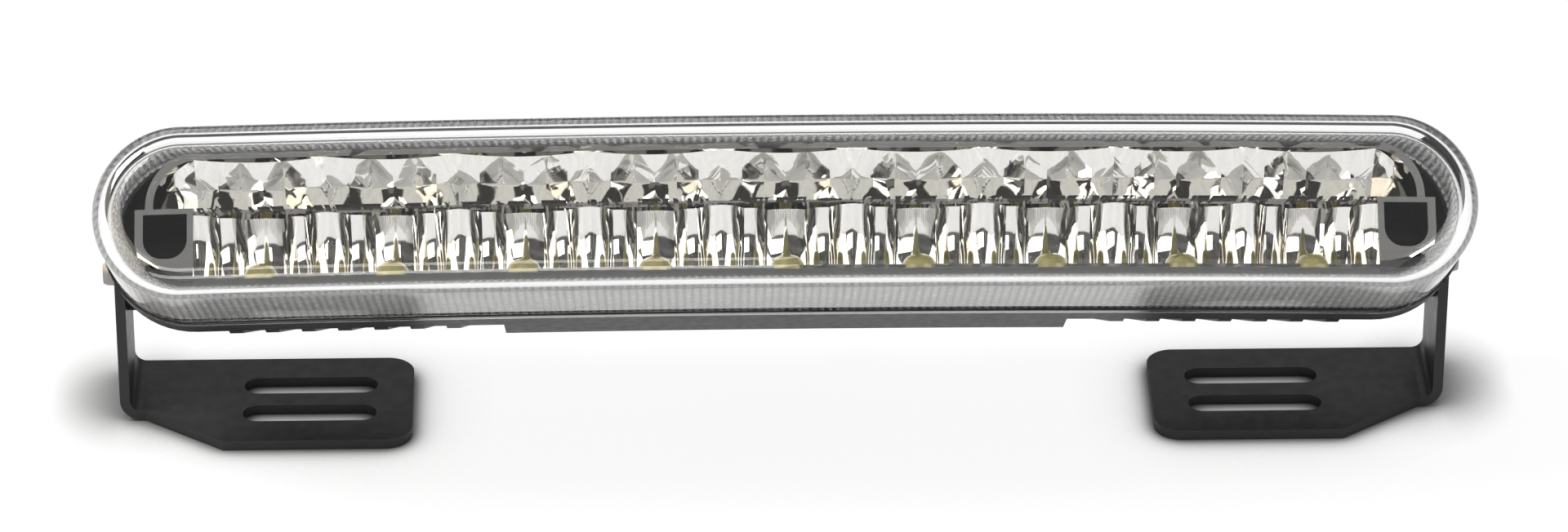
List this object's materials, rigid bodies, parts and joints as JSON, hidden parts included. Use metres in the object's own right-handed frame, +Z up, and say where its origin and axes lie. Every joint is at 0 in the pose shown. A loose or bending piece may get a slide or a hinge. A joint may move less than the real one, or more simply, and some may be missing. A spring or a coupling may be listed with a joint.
{
  "type": "daytime running light",
  "caption": "Slim curved vehicle running light: clear fluted lens over a two-tier chrome reflector, black finned housing and tilting slotted end brackets.",
  "frame": {"origin": "centre of the four bracket slots, on the plane that the bracket feet stand on", "axes": "+Z up from the feet, +X along the lamp to the right seen from its front, the lens looks towards -Y and up"},
  "size_m": [0.2022, 0.0492, 0.0582],
  "materials": {
    "black_casting": "black powder coat on die-cast aluminium",
    "clear_lens": "clear polycarbonate, fluted side walls",
    "seal_rubber": "soft black rubber",
    "bright_reflector": "vacuum-metallised bright plastic",
    "plated_steel": "zinc plated steel",
    "board_mask": "metal-core board, dark solder mask",
    "pad_rubber": "grey gap pad",
    "led_phosphor": "yellow phosphor under clear silicone",
    "driver_mask": "glass-fibre board, green solder mask",
    "coil_ferrite": "sintered ferrite",
    "capacitor_can": "drawn aluminium can",
    "chip_resin": "moulded resin",
    "wire_jacket": "red wire jacket",
    "vent_plastic": "black moulded plastic",
    "bolt_steel": "stainless steel",
    "black_sheet": "satin black powder coat on steel sheet"
  },
  "bodies": {
    "lamp": {"housing": "black_casting", "lens": "clear_lens", "lens_seal": "seal_rubber", "reflector": "bright_reflector", "reflector_screws": "plated_steel", "led_board": "board_mask", "thermal_pad": "pad_rubber", "leds": "led_phosphor", "board_screws": "plated_steel", "driver_board": "driver_mask", "driver_screws": "plated_steel", "driver_coil": "coil_ferrite", "driver_capacitor": "capacitor_can", "driver_chip": "chip_resin", "link_wires": "wire_jacket", "cable_grommet": "seal_rubber", "breather_vent": "vent_plastic", "left_pivot_bolt": "bolt_steel", "right_pivot_bolt": "bolt_steel"},
    "left_arm": {"left_bracket": "black_sheet"},
    "right_arm": {"right_bracket": "black_sheet"}
  },
  "joints": [
    {"name": "left_bracket_tilt", "type": "hinge", "parent": "lamp", "child": "left_arm", "pos_m": [-0.09835, 0.0044, 0.0222], "axis": [1, 0, 0], "range_deg": [-55, 130]},
    {"name": "right_bracket_tilt", "type": "hinge", "parent": "lamp", "child": "right_arm", "pos_m": [0.09835, 0.0044, 0.0222], "axis": [1, 0, 0], "range_deg": [-55, 130]}
  ]
}
